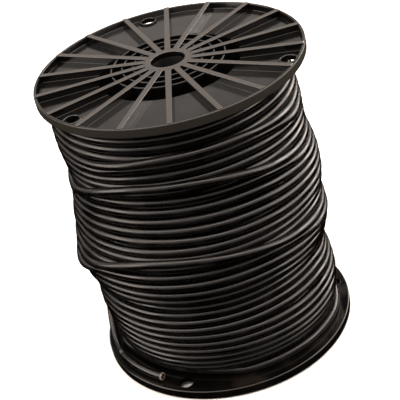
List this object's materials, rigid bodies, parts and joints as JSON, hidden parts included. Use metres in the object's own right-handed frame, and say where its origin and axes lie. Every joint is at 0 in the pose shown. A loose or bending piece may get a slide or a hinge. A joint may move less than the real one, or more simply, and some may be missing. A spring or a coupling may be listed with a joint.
{
  "type": "wire spool",
  "caption": "Ribbed two-flange spool with a hollow barrel and a plain through bore, fully wound with round jacketed cable for paying out by the length",
  "frame": {"origin": "on the spool's axis, in the face of the lower flange's ribs that it stands on", "axes": "+Z runs along the spool's axis from the lower flange to the upper one; X and Y lie in the flange's plane, with one of the lower flange's three wire holes near +X"},
  "size_m": [0.2032, 0.2032, 0.2412],
  "materials": {
    "flange_plastic": "moulded gloss",
    "barrel_plastic": "satin",
    "cable_jacket": "extruded gloss",
    "conductor": "dull copper"
  },
  "bodies": {
    "root": {"lower_flange": "flange_plastic", "upper_flange": "flange_plastic", "barrel": "barrel_plastic", "arbor_sleeve": "barrel_plastic", "cable_winding": "cable_jacket", "cable_finish_jacket": "cable_jacket", "cable_finish_conductor": "conductor", "cable_start_jacket": "cable_jacket", "cable_start_conductor": "conductor"}
  },
  "joints": []
}
